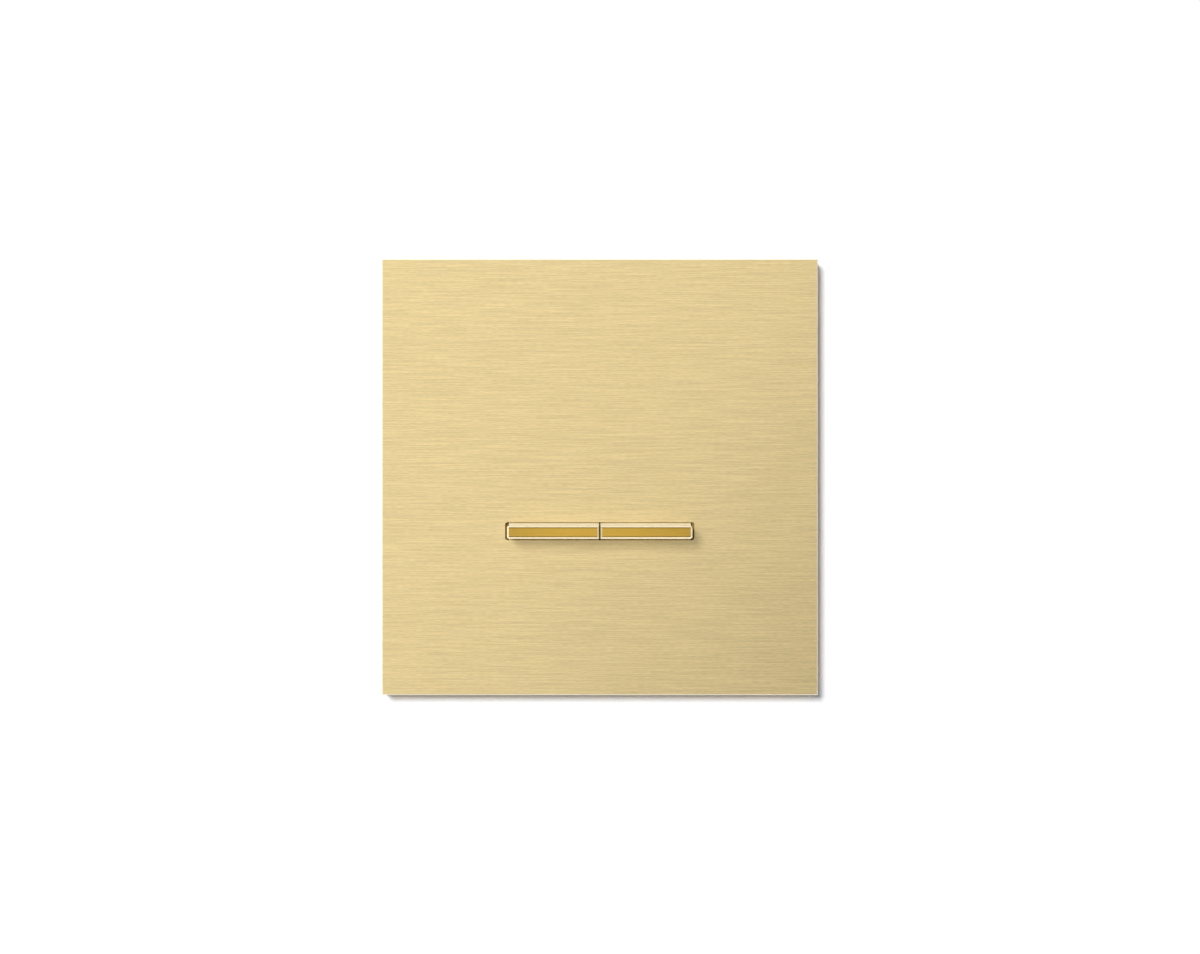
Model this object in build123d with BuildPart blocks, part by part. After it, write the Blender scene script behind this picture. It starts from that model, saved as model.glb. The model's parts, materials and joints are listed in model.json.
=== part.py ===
from build123d import *
import os
from math import hypot

os.makedirs("parts", exist_ok=True)

# A double toggle light switch: a thin square plate with two slim bar levers side by side in one slot.
# X runs right, Y into the wall and Z up. The origin is the plate's centre on the wall's surface.
# A forward value is a distance in front of the wall, so it is negative inside the wall box.
# A place across a gang is measured outward from the middle of its lever.

# Face plate
plate_side = 86.0
plate_depth = 4.0
plate_skin = 1.2
plate_edge = 0.15
slot_drop = 10.7
slot_clear = 0.49
slot_land = 0.3
slot_corner = 0.5
magnet_length = 12.0
magnet_width = 4.0
magnet_inset = 6.5

# Levers and their pivot
lever_width = 17.84
lever_thick = 2.57
lever_reach = 5.5
lever_chamfer = 0.33
lever_corner = 0.45
lever_split = 0.25
lever_end_gap = 0.7
pivot_depth = 2.5
barrel_clear = 0.13
pin_dia = 1.5
pin_run_fit = 0.04
press_fit = 0.02
lug_wall = 1.1
lug_thick = 1.8
lug_clear = 0.2

# Rockers, which carry each lever's movement to its slider
tail_width = 5.0
socket_depth = 3.2
socket_fit = 0.05
rocker_gap = 0.2
rocker_width = 7.6
rocker_height = 5.2
rocker_length = 4.6
rocker_taper = 1.2
cross_pin_dia = 1.2
arm_width = 5.0
arm_thick = 1.8
nose_radius = 1.2
nose_arm = 13.5

# Sliders, their moving contacts and springs
slider_width = 10.0
slider_length = 9.0
slider_lip = 1.8
slider_back = 2.7
slider_edge = 0.4
slider_fit = 0.12
nose_fit = 0.05
nose_room = 0.3
stud_side = 1.3
stud_length = 0.9
spring_room = 2.6
spring_span = 8.4
spring_width = 4.0
spring_thick = 0.3
spring_fit = 0.3
spring_seat = 0.4
finger_place = 2.6
finger_drop = 1.3
finger_width = 1.6
finger_thick = 0.4
finger_bend = 0.3
finger_gap = 0.1
finger_pad = 3.5

# Fixed contacts and terminals
contact_thick = 0.8
contact_width = 2.8
contact_gap = 1.2
contact_overrun = 5.0
contact_fit = 0.2
terminal_pitch = 7.0
terminals_per_gang = 3
cell_wall = 1.0
cell_height = 14.0
riser_lift = 0.6
tab_lift = 4.4
tab_height = 8.8
clamp_width = 5.4
clamp_height = 6.0
clamp_side = 0.8
clamp_front_wall = 1.0
clamp_rear_wall = 1.8
clamp_start = 4.4
clamp_fit = 0.2
wire_room = 2.6
screw_room = 1.6
wire_entry = 3.6
wire_lead_in = 0.6
terminal_screw_dia = 3.0
terminal_head_dia = 4.4
terminal_head = 1.5
driver_access_dia = 5.0
driver_slot = 0.8
tip_gap = 0.05

# Mechanism housing
base_wall = 1.5
base_floor = 1.6
base_corner = 1.8
base_edge = 0.8
partition = 1.2
rib_thick = 1.0
rib_reach = 1.2
rail_gap = 0.1
rail_side_gap = 0.3
cover_fit = 0.1
cover_side = 0.4
cover_floor = 1.9
trough_clear = 0.3
window_side_gap = 0.2
window_swing = 0.9
ear_reach = 4.6
ear_height = 9.0
ear_depth = 7.0
ear_corner = 2.0
ear_screw_place = 2.2

# Mounting frame, its screws and the earth terminal
frame_side = 71.0
frame_thick = 1.2
frame_corner = 3.0
frame_fit = 0.2
opening_side = 0.4
opening_swing = 0.7
box_screw_circle = 60.0
box_screw_hole = 4.0
box_screw_count = 4
frame_screw_dia = 3.0
frame_screw_length = 6.0
frame_screw_clear = 0.2
frame_head_dia = 5.2
frame_head = 1.3
cross_width = 0.8
cross_length = 3.2
cross_depth = 0.7
screw_end_room = 0.3
earth_width = 6.0
earth_height = 5.6
earth_front_wall = 2.0
earth_wire_room = 3.0
earth_rear_wall = 3.5
earth_wire_height = 3.4
earth_clear = 0.6
earth_tenon_width = 3.0
earth_tenon_height = 2.0

# Places derived from the dimensions above
sides = (("left", -1), ("right", 1))
axis_height = -slot_drop
slot_height = lever_thick + 2 * slot_clear
pocket_forward = plate_depth - plate_skin
pivot_forward = plate_depth - pivot_depth
land_forward = plate_depth - slot_land
tip_forward = plate_depth + lever_reach
flare_radius = hypot(pivot_depth - slot_land, slot_height / 2)
barrel_radius = flare_radius - barrel_clear
lever_in = lever_split / 2
lever_mid = lever_in + lever_width / 2
lever_out = lever_in + lever_width
slot_half = lever_out + lever_end_gap
lug_radius = pin_dia / 2 + lug_wall
lug_in = lever_out + lug_clear
lug_mid = lug_in + lug_thick / 2
lug_out = lug_in + lug_thick
lug_forward = pivot_forward + lug_radius
notch_forward = lug_forward + lug_clear
notch_width = lug_thick / 2 + lug_clear

rocker_front = pivot_forward - barrel_radius - rocker_gap
rocker_rear = rocker_front - rocker_length
socket_floor = rocker_front - socket_depth
tail_rear = socket_floor + 2 * socket_fit
cross_pin_forward = (rocker_front + socket_floor) / 2
nose_forward = pivot_forward - nose_arm

slider_front = nose_forward + slider_lip
groove_floor = nose_forward - nose_radius - nose_room
slider_rear = groove_floor - slider_back
slider_depth = slider_front - slider_rear
spring_forward = (slider_front + slider_rear) / 2
cavity_half = slider_length / 2 + spring_room
spring_end = cavity_half + spring_seat
contact_front = slider_rear - finger_drop - finger_gap
floor_forward = contact_front - contact_thick
rear_forward = floor_forward - base_floor

cover_half = lug_out + cover_side
trough_floor = pivot_forward - barrel_radius - trough_clear
cover_rear = trough_floor - cover_floor
rail_in = rocker_width / 2 + rail_side_gap
rail_out = slider_width / 2
rail_rear = slider_front + rail_gap
rib_mid = slider_width / 2 + slider_fit + rib_thick / 2

terminal_across = [(step + 0.5) * terminal_pitch for step in range(terminals_per_gang)]
terminal_xs = [side * across for name, side in sides for across in terminal_across]
cells_half = terminals_per_gang * terminal_pitch - cell_wall / 2
cover_room = cover_half + cover_fit
room_half = terminal_across[-1] + contact_width / 2 + contact_fit
base_half = max(cells_half, cover_room) + base_wall
cell_low = axis_height + cavity_half + partition
cell_top = cell_low + cell_height
cell_mid = (cell_low + cell_top) / 2
base_low = axis_height - cavity_half - base_wall
base_top = cell_top + base_wall
base_mid = (base_low + base_top) / 2

riser_low = cell_low + riser_lift
riser_top = riser_low + contact_thick
tab_rear = contact_front + tab_lift
tab_front = tab_rear + contact_thick
tab_top = riser_top + tab_height
clamp_low = cell_low + clamp_start
clamp_mid = clamp_low + clamp_height / 2
clamp_window_front = tab_front + wire_room
clamp_window_rear = tab_rear - screw_room
clamp_front = clamp_window_front + clamp_front_wall
clamp_rear = clamp_window_rear - clamp_rear_wall
cell_front = clamp_front + clamp_fit
core_floor = cell_front + base_wall
wire_forward = (tab_front + clamp_window_front) / 2

pocket_side = frame_side + 2 * frame_fit
magnet_pitch = frame_side - 2 * magnet_inset
ear_screw_x = base_half + ear_screw_place
ear_screw_spots = [(side * ear_screw_x, base_mid) for name, side in sides]
opening_half = lug_out + opening_side
opening_tall = 2 * (barrel_radius + opening_swing)
earth_mid = base_low - earth_clear - earth_height / 2
earth_wire_mid = -earth_front_wall - earth_wire_room / 2
earth_window_rear = -earth_front_wall - earth_wire_room
earth_rear = earth_window_rear - earth_rear_wall


def wall_plane(forward):
    # Reads as (x, z) and extrudes forward.
    return Plane.XZ.offset(forward)


def side_plane(x):
    # Reads as (y, z) and extrudes to the right.
    return Plane.YZ.offset(x)


def level_plane(height):
    # Reads as (x, y) and extrudes upward.
    return Plane.XY.offset(height)


def strip(start, end):
    # A rectangle between two opposite corners, in whichever order they come.
    with Locations(((start[0] + end[0]) / 2, (start[1] + end[1]) / 2)):
        Rectangle(abs(end[0] - start[0]), abs(end[1] - start[1]))


# The plate is a shallow tray: a thin face, a thick rim that meets the wall, and a pocket for the frame.
with BuildPart() as faceplate:
    with BuildSketch(wall_plane(0)):
        Rectangle(plate_side, plate_side)
    extrude(amount=plate_depth)
    chamfer(faceplate.faces().sort_by(Axis.Y)[0].edges(), plate_edge)
    with BuildSketch(wall_plane(0)):
        RectangleRounded(pocket_side, pocket_side, frame_corner)
    extrude(amount=pocket_forward, mode=Mode.SUBTRACT)
    with BuildSketch(wall_plane(pocket_forward)):
        with Locations((0, axis_height)):
            RectangleRounded(2 * slot_half, slot_height, slot_corner)
    extrude(amount=plate_skin, mode=Mode.SUBTRACT)
    with BuildSketch(side_plane(0)):
        with Locations((-pivot_forward, axis_height)):
            Circle(flare_radius)
        with Locations((-land_forward, axis_height)):
            Rectangle(
                2 * flare_radius,
                2 * flare_radius,
                align=(Align.MIN, Align.CENTER),
                mode=Mode.INTERSECT,
            )
    extrude(amount=slot_half, both=True, mode=Mode.SUBTRACT)
    with BuildSketch(wall_plane(pocket_forward)):
        with Locations((-lug_mid, axis_height), (lug_mid, axis_height)):
            Rectangle(lug_thick + 2 * lug_clear, 2 * (lug_radius + lug_clear))
    extrude(amount=notch_forward - pocket_forward, mode=Mode.SUBTRACT)
faceplate.part.label = "faceplate"
export_step(faceplate.part, "parts/faceplate.step")

# Four bar magnets fill the space between the plate's pocket and the steel frame.
with BuildPart() as plate_magnets:
    with BuildSketch(wall_plane(frame_thick)):
        with GridLocations(magnet_pitch, magnet_pitch, 2, 2):
            Rectangle(magnet_length, magnet_width)
    extrude(amount=pocket_forward - frame_thick)
plate_magnets.part.label = "plate_magnets"
export_step(plate_magnets.part, "parts/plate_magnets.step")

# The steel frame lies on the wall and clamps the mechanism from the front.
with BuildPart() as mounting_frame:
    with BuildSketch(wall_plane(0)):
        RectangleRounded(frame_side, frame_side, frame_corner)
        with Locations((0, axis_height)):
            Rectangle(2 * opening_half, opening_tall, mode=Mode.SUBTRACT)
        with PolarLocations(box_screw_circle / 2, box_screw_count):
            Circle(box_screw_hole / 2, mode=Mode.SUBTRACT)
        with Locations(*ear_screw_spots):
            Circle(frame_screw_dia / 2 + frame_screw_clear, mode=Mode.SUBTRACT)
        with Locations((0, earth_mid)):
            Rectangle(
                earth_tenon_width + 2 * press_fit,
                earth_tenon_height + 2 * press_fit,
                mode=Mode.SUBTRACT,
            )
    extrude(amount=frame_thick)
mounting_frame.part.label = "mounting_frame"
export_step(mounting_frame.part, "parts/mounting_frame.step")

# Pan-head screws pull the ears of the base against the frame.
with BuildPart() as frame_screws:
    with BuildSketch(wall_plane(-frame_screw_length)):
        with Locations(*ear_screw_spots):
            Circle(frame_screw_dia / 2)
    extrude(amount=frame_screw_length + frame_thick)
    with BuildSketch(wall_plane(frame_thick)):
        with Locations(*ear_screw_spots):
            Circle(frame_head_dia / 2)
    extrude(amount=frame_head)
    with BuildSketch(wall_plane(frame_thick + frame_head)):
        with Locations(*ear_screw_spots):
            Rectangle(cross_length, cross_width)
            Rectangle(cross_width, cross_length)
    extrude(amount=-cross_depth, mode=Mode.SUBTRACT)
frame_screws.part.label = "frame_screws"
export_step(frame_screws.part, "parts/frame_screws.step")

# The moulded base: a slider room below, six terminal cells above and two screw ears.
with BuildPart() as switch_base:
    with BuildSketch(wall_plane(rear_forward)):
        with Locations((0, base_mid)):
            RectangleRounded(2 * base_half, base_top - base_low, base_corner)
    extrude(amount=-rear_forward)
    chamfer(switch_base.faces().sort_by(Axis.Y)[-1].edges(), base_edge)
    with BuildSketch(wall_plane(-ear_depth)) as ears:
        with Locations((0, base_mid)):
            Rectangle(2 * (base_half + ear_reach), ear_height)
        chamfer(ears.vertices(), ear_corner)
    extrude(amount=ear_depth)
    with BuildSketch(wall_plane(cover_rear)):
        with Locations((0, axis_height)):
            Rectangle(2 * cover_room, 2 * cavity_half)
    extrude(amount=-cover_rear, mode=Mode.SUBTRACT)
    with BuildSketch(wall_plane(floor_forward)):
        with Locations((0, axis_height)):
            Rectangle(2 * room_half, 2 * cavity_half)
    extrude(amount=cover_rear - floor_forward, mode=Mode.SUBTRACT)
    # Guide ribs on both sides of each slider, clear of the contacts that pass under them.
    with BuildSketch(wall_plane(contact_front + contact_fit)):
        for name, side in sides:
            with Locations((side * lever_mid, axis_height)):
                with GridLocations(2 * rib_mid, 0, 2, 1):
                    Rectangle(rib_thick, 2 * cavity_half)
    extrude(amount=slider_front + rib_reach - contact_front - contact_fit)
    # Shallow seats for the feet of the springs, in both ends of the slider room.
    with BuildSketch(level_plane(axis_height - spring_end)):
        with Locations((-lever_mid, -spring_forward), (lever_mid, -spring_forward)):
            Rectangle(2 * rib_mid - rib_thick, spring_width + 2 * spring_fit)
    extrude(amount=2 * spring_end, mode=Mode.SUBTRACT)
    with BuildSketch(wall_plane(floor_forward)):
        with Locations(*[(x, cell_mid) for x in terminal_xs]):
            Rectangle(terminal_pitch - cell_wall, cell_height)
    extrude(amount=cell_front - floor_forward, mode=Mode.SUBTRACT)
    # Two cored pockets in front of the cells keep the moulding's walls even.
    with BuildSketch(wall_plane(core_floor)):
        with Locations((0, cell_mid)):
            with GridLocations(cells_half + cell_wall / 2, 0, 2, 1):
                Rectangle(cells_half - cell_wall / 2, cell_height)
    extrude(amount=-core_floor, mode=Mode.SUBTRACT)
    # Windows that let the contacts through from the slider room to the cells.
    with BuildSketch(wall_plane(floor_forward)):
        with Locations(*[(x, cell_low - partition / 2) for x in terminal_xs]):
            Rectangle(contact_width + 2 * contact_fit, partition)
    extrude(amount=contact_thick + contact_fit, mode=Mode.SUBTRACT)
    with BuildSketch(level_plane(cell_top)):
        with Locations(*[(x, -wire_forward) for x in terminal_xs]):
            Rectangle(wire_entry, wire_entry)
    extrude(amount=base_wall, mode=Mode.SUBTRACT)
    # Each wire entry is funnelled, so that a wire's end finds its way in.
    entries = switch_base.faces().sort_by(Axis.Z)[-1].inner_wires()
    chamfer([edge for entry in entries for edge in entry.edges()], wire_lead_in)
    with BuildSketch(wall_plane(rear_forward)):
        with Locations(*[(x, clamp_mid) for x in terminal_xs]):
            Circle(driver_access_dia / 2)
    extrude(amount=base_floor, mode=Mode.SUBTRACT)
    with BuildSketch(wall_plane(-frame_screw_length - screw_end_room)):
        with Locations(*ear_screw_spots):
            Circle(frame_screw_dia / 2 + press_fit)
    extrude(amount=frame_screw_length + screw_end_room, mode=Mode.SUBTRACT)
switch_base.part.label = "switch_base"
export_step(switch_base.part, "parts/switch_base.step")

# The cover closes the slider room, and its three lugs reach through the frame to hold the pivot pin.
with BuildPart() as mechanism_cover:
    with BuildSketch(wall_plane(cover_rear)):
        with Locations((0, axis_height)):
            Rectangle(2 * cover_half, 2 * (cavity_half - cover_fit))
    extrude(amount=-cover_rear)
    with BuildSketch(wall_plane(trough_floor)):
        for name, side in sides:
            strip(
                (side * lug_thick / 2, axis_height - barrel_radius - trough_clear),
                (side * lug_in, axis_height + barrel_radius + trough_clear),
            )
    extrude(amount=-trough_floor, mode=Mode.SUBTRACT)
    with BuildSketch(wall_plane(cover_rear)):
        with Locations((-lever_mid, axis_height), (lever_mid, axis_height)):
            Rectangle(rocker_width + 2 * window_side_gap, rocker_height + 2 * window_swing)
    extrude(amount=-cover_rear, mode=Mode.SUBTRACT)
    with BuildSketch(side_plane(-lug_mid), side_plane(0), side_plane(lug_mid)):
        with Locations((-pivot_forward, axis_height)):
            Circle(lug_radius)
            Rectangle(pivot_forward, 2 * lug_radius, align=(Align.MIN, Align.CENTER))
            Circle(pin_dia / 2 + press_fit, mode=Mode.SUBTRACT)
    extrude(amount=lug_thick / 2, both=True)
    # The outer lugs are square in front, and so they close the ends of the plate's slot.
    with BuildSketch(side_plane(-lug_mid), side_plane(lug_mid)):
        with Locations((-pivot_forward, axis_height)):
            Rectangle(lug_radius, 2 * lug_radius, align=(Align.MAX, Align.CENTER))
            Circle(pin_dia / 2 + press_fit, mode=Mode.SUBTRACT)
    extrude(amount=lug_thick / 2, both=True)
    # Rails that keep the sliders down on the contacts.
    with BuildSketch(wall_plane(rail_rear)):
        for name, side in sides:
            with Locations((side * lever_mid, axis_height)):
                with GridLocations(rail_in + rail_out, 0, 2, 1):
                    Rectangle(rail_out - rail_in, slider_length)
    extrude(amount=cover_rear - rail_rear)
mechanism_cover.part.label = "mechanism_cover"
export_step(mechanism_cover.part, "parts/mechanism_cover.step")

# One pin carries both levers.
with BuildPart() as pivot_pin:
    with BuildSketch(side_plane(0)):
        with Locations((-pivot_forward, axis_height)):
            Circle(pin_dia / 2)
    extrude(amount=lug_out, both=True)
pivot_pin.part.label = "pivot_pin"
export_step(pivot_pin.part, "parts/pivot_pin.step")

for name, side in sides:
    middle = side * lever_mid

    # A square bar in front of a round barrel that fills the slot at every angle.
    with BuildPart() as lever:
        with BuildSketch(wall_plane(pivot_forward)):
            with Locations((middle, axis_height)):
                Rectangle(lever_width, lever_thick)
        extrude(amount=tip_forward - pivot_forward)
        outer_end = lever.faces().sort_by(Axis.X)[-1 if side > 0 else 0]
        fillet(outer_end.edges().filter_by(Axis.Y), lever_corner)
        chamfer(lever.faces().sort_by(Axis.Y)[0].edges(), lever_chamfer)
        with BuildSketch(side_plane(middle)):
            with Locations((-pivot_forward, axis_height)):
                Circle(barrel_radius)
        extrude(amount=lever_width / 2, both=True)
        with BuildSketch(wall_plane(tail_rear)):
            with Locations((middle, axis_height)):
                Rectangle(tail_width, lever_thick)
        extrude(amount=pivot_forward - tail_rear)
        # Both levers are notched at their inner ends to straddle the middle lug.
        with BuildSketch(wall_plane(notch_forward)):
            strip(
                (0, axis_height - barrel_radius),
                (side * notch_width, axis_height + barrel_radius),
            )
        extrude(amount=-2 * barrel_radius - lug_radius, mode=Mode.SUBTRACT)
        with BuildSketch(side_plane(middle)):
            with Locations((-pivot_forward, axis_height)):
                Circle(pin_dia / 2 + pin_run_fit)
        extrude(amount=lever_width, both=True, mode=Mode.SUBTRACT)
        with BuildSketch(level_plane(axis_height)):
            with Locations((middle, -cross_pin_forward)):
                Circle(cross_pin_dia / 2 + press_fit)
        extrude(amount=lever_thick, both=True, mode=Mode.SUBTRACT)
    lever.part.label = f"lever_{name}"
    export_step(lever.part, f"parts/lever_{name}.step")

    # The rocker takes the lever's tail in a socket and ends in a round nose.
    with BuildPart() as rocker:
        with BuildSketch(side_plane(middle)):
            with BuildLine():
                Polyline(
                    (-rocker_front, axis_height - rocker_height / 2),
                    (-rocker_front, axis_height + rocker_height / 2),
                    (-rocker_rear - rocker_taper, axis_height + rocker_height / 2),
                    (-rocker_rear, axis_height + rocker_height / 2 - rocker_taper),
                    (-rocker_rear, axis_height - rocker_height / 2 + rocker_taper),
                    (-rocker_rear - rocker_taper, axis_height - rocker_height / 2),
                    close=True,
                )
            make_face()
        extrude(amount=rocker_width / 2, both=True)
        with BuildSketch(side_plane(middle)):
            strip(
                (-rocker_rear - rocker_taper, axis_height - arm_thick / 2),
                (-nose_forward, axis_height + arm_thick / 2),
            )
            with Locations((-nose_forward, axis_height)):
                Circle(nose_radius)
        extrude(amount=arm_width / 2, both=True)
        with BuildSketch(wall_plane(socket_floor)):
            with Locations((middle, axis_height)):
                Rectangle(tail_width + 2 * socket_fit, lever_thick + 2 * socket_fit)
        extrude(amount=socket_depth, mode=Mode.SUBTRACT)
        with BuildSketch(level_plane(axis_height)):
            with Locations((middle, -cross_pin_forward)):
                Circle(cross_pin_dia / 2 + press_fit)
        extrude(amount=rocker_height, both=True, mode=Mode.SUBTRACT)
    rocker.part.label = f"rocker_{name}"
    export_step(rocker.part, f"parts/rocker_{name}.step")

    with BuildPart() as cross_pin:
        with BuildSketch(level_plane(axis_height)):
            with Locations((middle, -cross_pin_forward)):
                Circle(cross_pin_dia / 2)
        extrude(amount=rocker_height / 2, both=True)
    cross_pin.part.label = f"cross_pin_{name}"
    export_step(cross_pin.part, f"parts/cross_pin_{name}.step")

    # The slider is forked round the rocker's nose and carries the moving contact on its back.
    with BuildPart() as slider:
        with BuildSketch(wall_plane(slider_rear)):
            with Locations((middle, axis_height)):
                Rectangle(slider_width, slider_length)
        extrude(amount=slider_depth)
        chamfer(slider.edges().filter_by(Axis.Z), slider_edge)
        with BuildSketch(wall_plane(groove_floor)):
            with Locations((middle, axis_height)):
                Rectangle(slider_width, 2 * (nose_radius + nose_fit))
        extrude(amount=slider_front - groove_floor, mode=Mode.SUBTRACT)
        with BuildSketch(wall_plane(slider_rear)):
            with Locations((middle, axis_height)):
                Rectangle(stud_side, stud_side)
        extrude(amount=-stud_length)
    slider.part.label = f"slider_{name}"
    export_step(slider.part, f"parts/slider_{name}.step")

    # A bronze strip keyed on the slider's square stud, with a bent finger on each side.
    finger_ridge = finger_drop - finger_thick / 2
    finger_end = finger_place + finger_ridge
    with BuildPart() as moving_contact:
        with BuildSketch(level_plane(axis_height)):
            with BuildLine():
                FilletPolyline(
                    (middle - finger_end, -slider_rear + finger_thick),
                    (middle - finger_place, -slider_rear + finger_ridge),
                    (middle - finger_place + finger_ridge, -slider_rear + finger_thick / 2),
                    (middle + finger_place - finger_ridge, -slider_rear + finger_thick / 2),
                    (middle + finger_place, -slider_rear + finger_ridge),
                    (middle + finger_end, -slider_rear + finger_thick),
                    radius=finger_bend,
                )
            trace(line_width=finger_thick)
        extrude(amount=finger_width / 2, both=True)
        with BuildSketch(wall_plane(slider_rear)):
            with Locations((middle, axis_height)):
                Rectangle(2 * (finger_place - finger_drop), finger_pad)
        extrude(amount=-finger_thick)
        with BuildSketch(wall_plane(slider_rear)):
            with Locations((middle, axis_height)):
                Rectangle(stud_side + 2 * press_fit, stud_side + 2 * press_fit)
        extrude(amount=-finger_thick, mode=Mode.SUBTRACT)
    moving_contact.part.label = f"moving_contact_{name}"
    export_step(moving_contact.part, f"parts/moving_contact_{name}.step")

    # A bow spring at each end holds the slider, and with it the lever, at mid travel.
    for place, way in (("lower", -1), ("upper", 1)):
        foot = axis_height + way * (spring_end - spring_thick / 2)
        crown = axis_height + way * (slider_length / 2 + spring_thick / 2)
        with BuildPart() as spring:
            with BuildSketch(wall_plane(spring_forward)):
                with BuildLine():
                    ThreePointArc(
                        (middle - spring_span / 2, foot),
                        (middle, crown),
                        (middle + spring_span / 2, foot),
                    )
                trace(line_width=spring_thick)
            extrude(amount=spring_width / 2, both=True)
        spring.part.label = f"spring_{place}_{name}"
        export_step(spring.part, f"parts/spring_{place}_{name}.step")

    # Stamped contacts: the common one always meets a finger, the other two only up or down.
    half = contact_width / 2
    link_low = axis_height + cavity_half - contact_fit - contact_width
    link_top = link_low + contact_width
    floor_low = axis_height - contact_overrun
    floor_link_top = floor_low + contact_width
    up_low = axis_height + contact_gap
    down_top = axis_height - contact_gap
    contacts = (
        ("common", terminal_across[0], -finger_place, floor_low, link_top, link_low, link_top),
        ("up", terminal_across[1], finger_place, up_low, link_top, link_low, link_top),
        ("down", terminal_across[2], finger_place, floor_low, down_top, floor_low, floor_link_top),
    )
    for role, terminal, place, low, top, bridge_low, bridge_top in contacts:
        pad_x = side * (lever_mid + place)
        leg_x = side * terminal
        with BuildPart() as contact:
            with BuildSketch(wall_plane(floor_forward)):
                strip((pad_x - half, low), (pad_x + half, top))
                strip((min(pad_x, leg_x) - half, bridge_low), (max(pad_x, leg_x) + half, bridge_top))
                strip((leg_x - half, bridge_low), (leg_x + half, riser_top))
            extrude(amount=contact_thick)
            with BuildSketch(wall_plane(floor_forward)):
                strip((leg_x - half, riser_low), (leg_x + half, riser_top))
            extrude(amount=tab_front - floor_forward)
            with BuildSketch(wall_plane(tab_rear)):
                strip((leg_x - half, riser_low), (leg_x + half, tab_top))
            extrude(amount=contact_thick)
        contact.part.label = f"contact_{role}_{name}"
        export_step(contact.part, f"parts/contact_{role}_{name}.step")

# Cage clamps: the wire lies between the cage's front wall and the contact's tab.
with BuildPart() as terminal_clamps:
    with BuildSketch(level_plane(clamp_low)):
        for x in terminal_xs:
            strip((x - clamp_width / 2, -clamp_front), (x + clamp_width / 2, -clamp_rear))
    extrude(amount=clamp_height)
    with BuildSketch(level_plane(clamp_low)):
        for x in terminal_xs:
            inner_half = clamp_width / 2 - clamp_side
            strip((x - inner_half, -clamp_window_front), (x + inner_half, -clamp_window_rear))
    extrude(amount=clamp_height, mode=Mode.SUBTRACT)
    with BuildSketch(wall_plane(clamp_rear)):
        with Locations(*[(x, clamp_mid) for x in terminal_xs]):
            Circle(terminal_screw_dia / 2 + press_fit)
    extrude(amount=clamp_rear_wall, mode=Mode.SUBTRACT)
terminal_clamps.part.label = "terminal_clamps"
export_step(terminal_clamps.part, "parts/terminal_clamps.step")

# Slotted screws driven from the back of the base.
with BuildPart() as terminal_screws:
    with BuildSketch(wall_plane(clamp_rear)):
        with Locations(*[(x, clamp_mid) for x in terminal_xs]):
            Circle(terminal_screw_dia / 2)
    extrude(amount=tab_rear - tip_gap - clamp_rear)
    with BuildSketch(wall_plane(clamp_rear)):
        with Locations(*[(x, clamp_mid) for x in terminal_xs]):
            Circle(terminal_head_dia / 2)
    extrude(amount=-terminal_head)
    with BuildSketch(wall_plane(clamp_rear - terminal_head)):
        with Locations(*[(x, clamp_mid) for x in terminal_xs]):
            Rectangle(terminal_head_dia, driver_slot)
    extrude(amount=driver_slot, mode=Mode.SUBTRACT)
terminal_screws.part.label = "terminal_screws"
export_step(terminal_screws.part, "parts/terminal_screws.step")

# The earth terminal is a block whose tenon is staked into the frame from behind.
with BuildPart() as earth_terminal:
    with BuildSketch(wall_plane(earth_rear)):
        with Locations((0, earth_mid)):
            Rectangle(earth_width, earth_height)
    extrude(amount=-earth_rear)
    with BuildSketch(wall_plane(0)):
        with Locations((0, earth_mid)):
            Rectangle(earth_tenon_width, earth_tenon_height)
    extrude(amount=frame_thick)
    with BuildSketch(side_plane(0)):
        with Locations((-earth_wire_mid, earth_mid)):
            Rectangle(earth_wire_room, earth_wire_height)
    extrude(amount=earth_width, both=True, mode=Mode.SUBTRACT)
    with BuildSketch(wall_plane(earth_rear)):
        with Locations((0, earth_mid)):
            Circle(terminal_screw_dia / 2 + press_fit)
    extrude(amount=earth_rear_wall, mode=Mode.SUBTRACT)
earth_terminal.part.label = "earth_terminal"
export_step(earth_terminal.part, "parts/earth_terminal.step")

with BuildPart() as earth_screw:
    with BuildSketch(wall_plane(earth_rear)):
        with Locations((0, earth_mid)):
            Circle(terminal_screw_dia / 2)
    extrude(amount=earth_rear_wall)
    with BuildSketch(wall_plane(earth_rear)):
        with Locations((0, earth_mid)):
            Circle(terminal_head_dia / 2)
    extrude(amount=-terminal_head)
    with BuildSketch(wall_plane(earth_rear - terminal_head)):
        with Locations((0, earth_mid)):
            Rectangle(terminal_head_dia, driver_slot)
    extrude(amount=driver_slot, mode=Mode.SUBTRACT)
earth_screw.part.label = "earth_screw"
export_step(earth_screw.part, "parts/earth_screw.step")
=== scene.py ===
import json
import math

import bpy
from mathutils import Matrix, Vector


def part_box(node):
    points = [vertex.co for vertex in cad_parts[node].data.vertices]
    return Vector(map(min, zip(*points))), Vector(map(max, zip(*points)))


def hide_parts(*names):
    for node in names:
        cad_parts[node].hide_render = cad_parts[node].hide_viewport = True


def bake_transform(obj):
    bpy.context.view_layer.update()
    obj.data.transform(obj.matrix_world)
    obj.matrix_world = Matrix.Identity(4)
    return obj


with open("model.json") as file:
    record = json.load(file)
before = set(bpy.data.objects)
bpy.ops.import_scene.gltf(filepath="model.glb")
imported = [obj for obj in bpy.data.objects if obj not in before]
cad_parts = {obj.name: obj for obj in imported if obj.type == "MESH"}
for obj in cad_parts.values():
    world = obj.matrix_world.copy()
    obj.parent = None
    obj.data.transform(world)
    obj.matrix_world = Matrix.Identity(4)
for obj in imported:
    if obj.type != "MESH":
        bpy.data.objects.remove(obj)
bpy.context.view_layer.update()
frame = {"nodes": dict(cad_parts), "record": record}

MM = 0.001
WHITE = (1.0, 1.0, 1.0, 1.0)
nodes = frame["nodes"]

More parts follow.
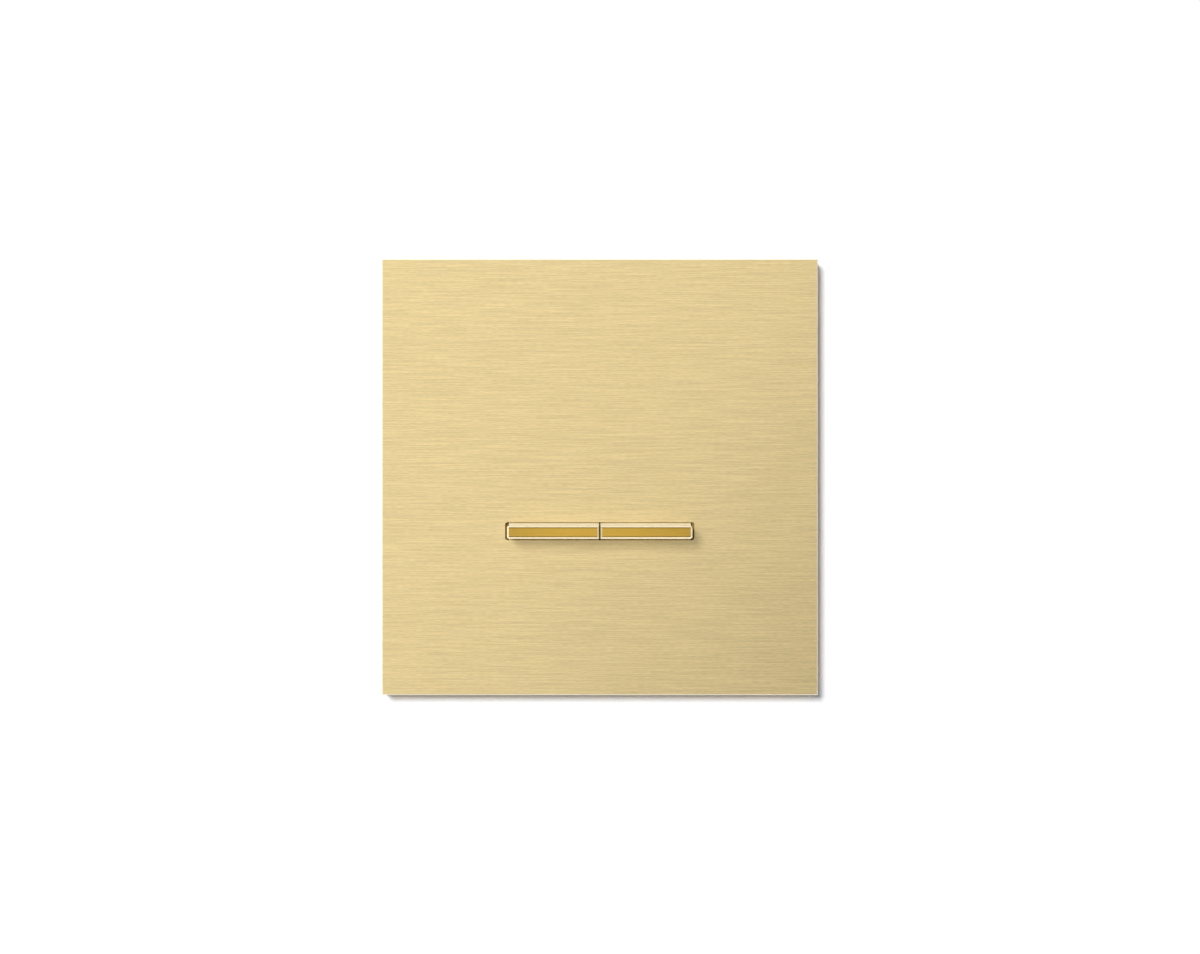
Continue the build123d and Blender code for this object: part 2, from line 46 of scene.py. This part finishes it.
# Places that the scene takes from the frame.
plate_low, plate_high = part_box("faceplate")
plate_side = plate_high.x - plate_low.x
pin_low, pin_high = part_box("pivot_pin")
lever_axis = (pin_low.z + pin_high.z) / 2


def linear(red, green, blue):
    """A colour given as 0 to 255 display values, as linear light."""
    channels = []
    for value in (red, green, blue):
        share = value / 255
        channels.append(share / 12.92 if share <= 0.04045 else ((share + 0.055) / 1.055) ** 2.4)
    return (*channels, 1.0)


def put(tree, socket, value):
    """Links a socket given as the value to an input, or sets a plain value on it."""
    if isinstance(value, bpy.types.NodeSocket):
        tree.links.new(value, socket)
    else:
        socket.default_value = value


def add_node(tree, kind, **inputs):
    """A shader node with its inputs set by name; a socket given as a value is linked."""
    node = tree.nodes.new(kind)
    for name, value in inputs.items():
        put(tree, node.inputs[name], value)
    return node


def reckon(tree, operation, *values):
    """The result of a maths node on one or two values."""
    made = tree.nodes.new("ShaderNodeMath")
    made.operation = operation
    for socket, value in zip(made.inputs, values):
        put(tree, socket, value)
    return made.outputs["Value"]


def spread(tree, source, low, high, start=0.3, end=0.7):
    """A value between two limits, as the source goes from start to end."""
    limits = {"From Min": start, "From Max": end, "To Min": low, "To Max": high}
    return add_node(tree, "ShaderNodeMapRange", Value=source, **limits).outputs["Result"]


def mix(tree, factor, dark, light):
    """A colour between two, by a factor socket."""
    made = tree.nodes.new("ShaderNodeMix")
    made.data_type = "RGBA"
    factor_input, dark_input, light_input, colour_output = 0, 6, 7, 2
    put(tree, made.inputs[factor_input], factor)
    put(tree, made.inputs[dark_input], dark)
    put(tree, made.inputs[light_input], light)
    return made.outputs[colour_output]


def grain(tree, stretch, detail):
    """Noise in the piece's own coordinates, in cycles per metre along X, Y and Z."""
    coords = tree.nodes.new("ShaderNodeTexCoord")
    placed = add_node(tree, "ShaderNodeMapping", Vector=coords.outputs["Object"], Scale=stretch)
    noise = add_node(tree, "ShaderNodeTexNoise", Vector=placed.outputs["Vector"], Scale=1.0, Detail=detail)
    return noise.outputs["Fac"]


def fall_off(tree, axis, middle, start, end, least):
    """A factor that falls from one to least as the distance from the middle goes from start to end."""
    coords = tree.nodes.new("ShaderNodeTexCoord")
    split = add_node(tree, "ShaderNodeSeparateXYZ", Vector=coords.outputs["Object"])
    away = reckon(tree, "SUBTRACT", split.outputs[axis], middle)
    return spread(tree, reckon(tree, "ABSOLUTE", away), 1.0, least, start, end)


def surface(
    name, dark, light, metallic, rough, stretch, bump, depth=0.01 * MM, detail=3.0, layers=(), shades=()
):
    """A procedural finish: one grain drives its colour, its roughness and a slight relief.

    The colours are display values. Each layer, a longer grain, and each shade, a fall-off of painted shade,
    scales the colour.
    """
    made = bpy.data.materials.new(name)
    made.use_nodes = True
    tree = made.node_tree
    shader = tree.nodes["Principled BSDF"]
    fine = grain(tree, stretch, detail)
    colour = mix(tree, spread(tree, fine, 0.0, 1.0), linear(*dark), linear(*light))
    factors = []
    for layer in layers:
        longer = grain(tree, layer["stretch"], detail=0.0)
        factors.append(spread(tree, longer, layer["low"], layer["high"]))
    for shade in shades:
        factors.append(fall_off(tree, **shade))
    for factor in factors:
        scaled = add_node(tree, "ShaderNodeHueSaturation", Color=colour, Value=factor)
        colour = scaled.outputs["Color"]
    relief = add_node(tree, "ShaderNodeBump", Height=fine, Strength=bump, Distance=depth)
    put(tree, shader.inputs["Base Color"], colour)
    put(tree, shader.inputs["Roughness"], spread(tree, fine, *rough))
    put(tree, shader.inputs["Metallic"], metallic)
    put(tree, shader.inputs["Normal"], relief.outputs["Normal"])
    return made


# How fine each grain is, in cycles per metre along X, Y and Z.
BRUSHED = (260.0, 260.0, 6500.0)
SHORT_BRUSHED = (800.0, 6500.0, 6500.0)
MID_BRUSHED = (250.0, 6100.0, 6100.0)
LONG_BRUSHED = (80.0, 5700.0, 5700.0)
SLOW = (70.0, 70.0, 70.0)
EVEN = (1500.0, 1500.0, 1500.0)
TURNED = (3000.0, 300.0, 3000.0)
ROLLED = (300.0, 300.0, 1800.0)

# The face plate: pale gold with fine side-to-side brushing of three lengths, and a paler chamfer that is a
# painted highlight.
plate_metal = surface(
    "plate_metal", dark=(226, 203, 146), light=(235, 211, 155), metallic=0.6, rough=(0.28, 0.32),
    stretch=SHORT_BRUSHED, bump=0.02, detail=0.0,
    layers=(
        {"stretch": MID_BRUSHED, "low": 0.96, "high": 1.04},
        {"stretch": LONG_BRUSHED, "low": 0.945, "high": 1.055},
    ),
)
# Painted highlight: the plate's chamfer is a paler copy of the plate brass.
plate_rim_painted_highlight = surface(
    "plate_rim_painted_highlight", dark=(244, 233, 208), light=(250, 239, 214), metallic=0.5, rough=(0.36, 0.44),
    stretch=EVEN, bump=0.05,
)

# The levers: a deeper gold front with painted shade towards its top and bottom edges and its outer ends,
# chamfers and sides painted paler as a highlight, and an inner end painted dark as shade.
lever_face_painted_shade = surface(
    "lever_face_painted_shade", dark=(217, 173, 70), light=(230, 186, 79), metallic=0.8, rough=(0.27, 0.33),
    stretch=BRUSHED, bump=0.1,
    layers=({"stretch": SLOW, "low": 0.95, "high": 1.05},),
    # Painted shade: the face darkens towards its top and bottom edges and towards each lever's outer end.
    shades=(
        {"axis": "Z", "middle": lever_axis, "start": 0.68 * MM, "end": 0.86 * MM, "least": 0.45},
        {"axis": "X", "middle": 1.5 * MM, "start": 6 * MM, "end": 18 * MM, "least": 0.82},
    ),
)
# Painted highlight: the chamfers are a paler copy of the lever brass, standing in for the light they catch.
lever_chamfer_painted_highlight = surface(
    "lever_chamfer_painted_highlight", dark=(246, 233, 200), light=(253, 240, 207), metallic=1.0, rough=(0.26, 0.34),
    stretch=EVEN, bump=0.05,
)
# Painted highlight: the sides and barrel are a paler copy of the lever brass, standing in for the light on
# their top.
lever_edge_painted_highlight = surface(
    "lever_edge_painted_highlight", dark=(248, 237, 205), light=(254, 244, 212), metallic=0.6, rough=(0.40, 0.48),
    stretch=EVEN, bump=0.05,
)
# Painted shade: the inner ends are dark to stand in for the shade in the gap between the levers.
lever_inner_painted_shade = surface(
    "lever_inner_painted_shade", dark=(74, 58, 27), light=(88, 70, 34), metallic=0.0, rough=(0.66, 0.76),
    stretch=EVEN, bump=0.2,
)

# The steels of the magnets, frame, screws, pins and springs.
magnet_metal = surface(
    "magnet_metal", dark=(176, 176, 178), light=(206, 206, 208), metallic=1.0, rough=(0.18, 0.28),
    stretch=EVEN, bump=0.1,
)
frame_steel = surface(
    "frame_steel", dark=(184, 186, 188), light=(201, 203, 204), metallic=0.9, rough=(0.36, 0.44),
    stretch=EVEN, bump=0.1, detail=4.0,
)
screw_steel = surface(
    "screw_steel", dark=(170, 170, 172), light=(210, 210, 211), metallic=1.0, rough=(0.28, 0.40),
    stretch=TURNED, bump=0.15,
)
pin_steel = surface(
    "pin_steel", dark=(160, 160, 163), light=(196, 196, 198), metallic=1.0, rough=(0.22, 0.32),
    stretch=EVEN, bump=0.1,
)
spring_steel = surface(
    "spring_steel", dark=(140, 141, 146), light=(176, 177, 180), metallic=1.0, rough=(0.26, 0.38),
    stretch=EVEN, bump=0.1,
)

# The moulded plastics.
base_plastic = surface(
    "base_plastic", dark=(52, 52, 55), light=(64, 64, 67), metallic=0.0, rough=(0.44, 0.58),
    stretch=EVEN, bump=0.35, depth=0.03 * MM, detail=4.0,
)
cover_plastic = surface(
    "cover_plastic", dark=(136, 106, 38), light=(154, 120, 47), metallic=0.0, rough=(0.46, 0.58),
    stretch=EVEN, bump=0.35, depth=0.03 * MM, detail=4.0,
)
rocker_plastic = surface(
    "rocker_plastic", dark=(218, 215, 204), light=(232, 230, 221), metallic=0.0, rough=(0.38, 0.50),
    stretch=EVEN, bump=0.2, depth=0.02 * MM,
)
slider_plastic = surface(
    "slider_plastic", dark=(196, 196, 190), light=(212, 212, 206), metallic=0.0, rough=(0.38, 0.50),
    stretch=EVEN, bump=0.2, depth=0.02 * MM,
)

# The brass and bronze of the contacts and clamps.
contact_metal = surface(
    "contact_metal", dark=(196, 158, 86), light=(220, 184, 110), metallic=1.0, rough=(0.26, 0.40),
    stretch=ROLLED, bump=0.12,
)
finger_bronze = surface(
    "finger_bronze", dark=(180, 126, 84), light=(205, 150, 106), metallic=1.0, rough=(0.26, 0.38),
    stretch=EVEN, bump=0.1,
)
clamp_metal = surface(
    "clamp_metal", dark=(190, 156, 90), light=(216, 184, 116), metallic=1.0, rough=(0.28, 0.42),
    stretch=TURNED, bump=0.15,
)

FINISHES = {
    "plate_metal": plate_metal,
    "lever_metal": lever_face_painted_shade,
    "magnet_metal": magnet_metal,
    "frame_steel": frame_steel,
    "screw_steel": screw_steel,
    "pin_steel": pin_steel,
    "spring_steel": spring_steel,
    "base_plastic": base_plastic,
    "cover_plastic": cover_plastic,
    "rocker_plastic": rocker_plastic,
    "slider_plastic": slider_plastic,
    "contact_metal": contact_metal,
    "finger_bronze": finger_bronze,
    "clamp_metal": clamp_metal,
}
for subpart in frame["record"]["subparts"]:
    piece = nodes[subpart["node"]]
    piece.data.materials.clear()
    piece.data.materials.append(FINISHES[subpart["material_slot"]])

# A polygon's forward lean, from 0 for a side to 1 for a front, tells fronts, chamfers and sides apart.
FRONT_LEAN = 0.98
SIDE_LEAN = 0.02
FACE, CHAMFER, EDGE, INNER = range(4)

# The plate's fine front chamfer is painted paler than its face, as a highlight.
RIM_REACH = 0.5 * MM
plate_mesh = nodes["faceplate"].data
plate_mesh.materials.append(plate_rim_painted_highlight)
for polygon in plate_mesh.polygons:
    slanted = SIDE_LEAN < -polygon.normal.y < FRONT_LEAN
    from_middle = max(abs(polygon.center.x), abs(polygon.center.z))
    if slanted and from_middle > plate_side / 2 - RIM_REACH:
        polygon.material_index = CHAMFER

# A lever's front is the deeper gold. Its chamfers, sides and barrel get paler finishes as a painted
# highlight, and its inner end a dark finish as painted shade.
CHAMFER_REACH = 0.5 * MM
INNER_REACH = 2 * MM
for name in ("lever_left", "lever_right"):
    lever_mesh = nodes[name].data
    for finish in (lever_chamfer_painted_highlight, lever_edge_painted_highlight, lever_inner_painted_shade):
        lever_mesh.materials.append(finish)
    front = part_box(name)[0].y
    for polygon in lever_mesh.polygons:
        lean = -polygon.normal.y
        if lean > FRONT_LEAN:
            polygon.material_index = FACE
        elif lean > SIDE_LEAN and polygon.center.y < front + CHAMFER_REACH:
            polygon.material_index = CHAMFER
        elif abs(polygon.normal.x) > FRONT_LEAN and abs(polygon.center.x) < INNER_REACH:
            polygon.material_index = INNER
        else:
            polygon.material_index = EDGE

# Each bow spring bends between its feet in the base and its crown on the slider.
# A copy of its mesh, baked where the frame puts it, stands for it, and the frame node is hidden.
for side in ("left", "right"):
    for place in ("upper", "lower"):
        node = f"spring_{place}_{side}"
        bow = bpy.data.objects.new(f"bow_{node}", nodes[node].data.copy())
        bpy.context.scene.collection.objects.link(bow)
        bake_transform(bow)
        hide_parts(node)

# The wall is a white sheet just behind the plate, open where the wall box would be and clear from behind.
WALL_HALF = 1.0
WALL_BEHIND = 0.1 * MM
WALL_LAP = 0.1 * MM
WALL_WHITE = (0.985, 0.985, 0.985, 1.0)
SIDES = 4


def square(half):
    """The corners of a square in the wall's plane."""
    return [(x * half, WALL_BEHIND, z * half) for x, z in ((-1, -1), (1, -1), (1, 1), (-1, 1))]


corners = square(WALL_HALF) + square(plate_side / 2 - WALL_LAP)
sheets = []
for side in range(SIDES):
    following = (side + 1) % SIDES
    sheets.append((side, following, following + SIDES, side + SIDES))
wall_mesh = bpy.data.meshes.new("wall")
wall_mesh.from_pydata(corners, [], sheets)
wall = bpy.data.objects.new("wall", wall_mesh)
bpy.context.scene.collection.objects.link(wall)

wall_paint = bpy.data.materials.new("wall_paint")
wall_paint.use_nodes = True
wall_tree = wall_paint.node_tree
wall_tree.nodes.clear()
geometry = wall_tree.nodes.new("ShaderNodeNewGeometry")
matt = add_node(wall_tree, "ShaderNodeBsdfDiffuse", Color=WALL_WHITE)
clear = wall_tree.nodes.new("ShaderNodeBsdfTransparent")
sided = add_node(wall_tree, "ShaderNodeMixShader", Fac=geometry.outputs["Backfacing"])
front_input, back_input = 1, 2
put(wall_tree, sided.inputs[front_input], matt.outputs["BSDF"])
put(wall_tree, sided.inputs[back_input], clear.outputs["BSDF"])
add_node(wall_tree, "ShaderNodeOutputMaterial", Surface=sided.outputs["Shader"])
wall_mesh.materials.append(wall_paint)

# A white room: the camera sees it white, and it lights the part dimly. Reflections show it white too,
# with a dark band to the lower right, whose two soft edges are measured along BAND_AWAY.
ROOM_LIGHT = 0.16
ROOM_TINT = (0.92, 1.0, 1.25, 1.0)
ROOM_REFLECTED = 1.0
BAND_REFLECTED = 0.18
BAND_AWAY = (-0.785, 0.0, 0.62)
BAND_NEAR = (-0.17, -0.07)
BAND_FAR = (-0.8, -0.55)
room = bpy.data.worlds.new("room")
bpy.context.scene.world = room
room.use_nodes = True
room_tree = room.node_tree
room_tree.nodes.clear()
paths = room_tree.nodes.new("ShaderNodeLightPath")
seen = paths.outputs["Is Camera Ray"]
mirrored = paths.outputs["Is Glossy Ray"]
ways = room_tree.nodes.new("ShaderNodeTexCoord")
turned = room_tree.nodes.new("ShaderNodeVectorMath")
turned.operation = "DOT_PRODUCT"
put(room_tree, turned.inputs[0], ways.outputs["Generated"])
put(room_tree, turned.inputs[1], BAND_AWAY)
away = turned.outputs["Value"]
near_side = spread(room_tree, away, BAND_REFLECTED, ROOM_REFLECTED, *BAND_NEAR)
far_side = spread(room_tree, away, ROOM_REFLECTED - BAND_REFLECTED, 0.0, *BAND_FAR)
reflected = reckon(room_tree, "ADD", near_side, far_side)
unseen_level = spread(room_tree, mirrored, ROOM_LIGHT, reflected, start=0.0, end=1.0)
level = spread(room_tree, seen, unseen_level, 1.0, start=0.0, end=1.0)
tint = mix(room_tree, reckon(room_tree, "MAXIMUM", seen, mirrored), ROOM_TINT, WHITE)
sky = add_node(room_tree, "ShaderNodeBackground", Color=tint, Strength=level)
add_node(room_tree, "ShaderNodeOutputWorld", Surface=sky.outputs["Background"])


def lamp(name, place, width, height, watts, in_reflections=True):
    """A soft rectangular lamp turned to the origin and unseen by the camera."""
    data = bpy.data.lights.new(name, "AREA")
    data.shape = "RECTANGLE"
    data.size = width
    data.size_y = height
    data.energy = watts
    made = bpy.data.objects.new(name, data)
    bpy.context.scene.collection.objects.link(made)
    made.location = place
    made.rotation_euler = (-Vector(place)).to_track_quat("-Z", "Y").to_euler()
    made.visible_camera = False
    made.visible_glossy = in_reflections


# The key lamp stands to the upper left. The others fill in the top, the edges and the back.
lamp("key", place=(-0.68, -1.80, 0.68), width=0.65, height=0.65, watts=43.0, in_reflections=False)
lamp("above", place=(0.0, -0.20, 0.8), width=1.4, height=0.4, watts=1.3, in_reflections=False)
lamp("left", place=(-0.8, -0.20, 0.0), width=0.4, height=1.4, watts=0.5)
lamp("below", place=(0.0, -0.20, -0.8), width=1.4, height=0.4, watts=1.5)
lamp("behind", place=(-0.5, 0.8, 0.6), width=0.6, height=0.6, watts=9.0)
lamp("beside", place=(0.8, 0.35, 0.1), width=0.5, height=0.5, watts=4.0)

# The camera stands a hair to the right of the plate's axis, and its lens gives the plate
# the photograph's share of the frame.
FRAME_WIDTH_PX = 1200
PLATE_WIDTH_PX = 436
CAMERA_DISTANCE = 300 * MM
CAMERA_ASIDE = 0.05 * MM
SENSOR_WIDTH = 36.0
CLIP_START = 1 * MM
CLIP_END = 10.0
frame_width = plate_side * FRAME_WIDTH_PX / PLATE_WIDTH_PX
camera_data = bpy.data.cameras.new("camera")
camera_data.sensor_width = SENSOR_WIDTH
camera_data.lens = SENSOR_WIDTH * CAMERA_DISTANCE / frame_width
camera_data.clip_start = CLIP_START
camera_data.clip_end = CLIP_END
camera = bpy.data.objects.new("camera", camera_data)
bpy.context.scene.collection.objects.link(camera)
bpy.context.scene.camera = camera
camera.location = (CAMERA_ASIDE, plate_low.y - CAMERA_DISTANCE, 0.0)
camera.rotation_euler = (math.radians(90), 0.0, 0.0)

bpy.context.scene.view_settings.view_transform = "Standard"
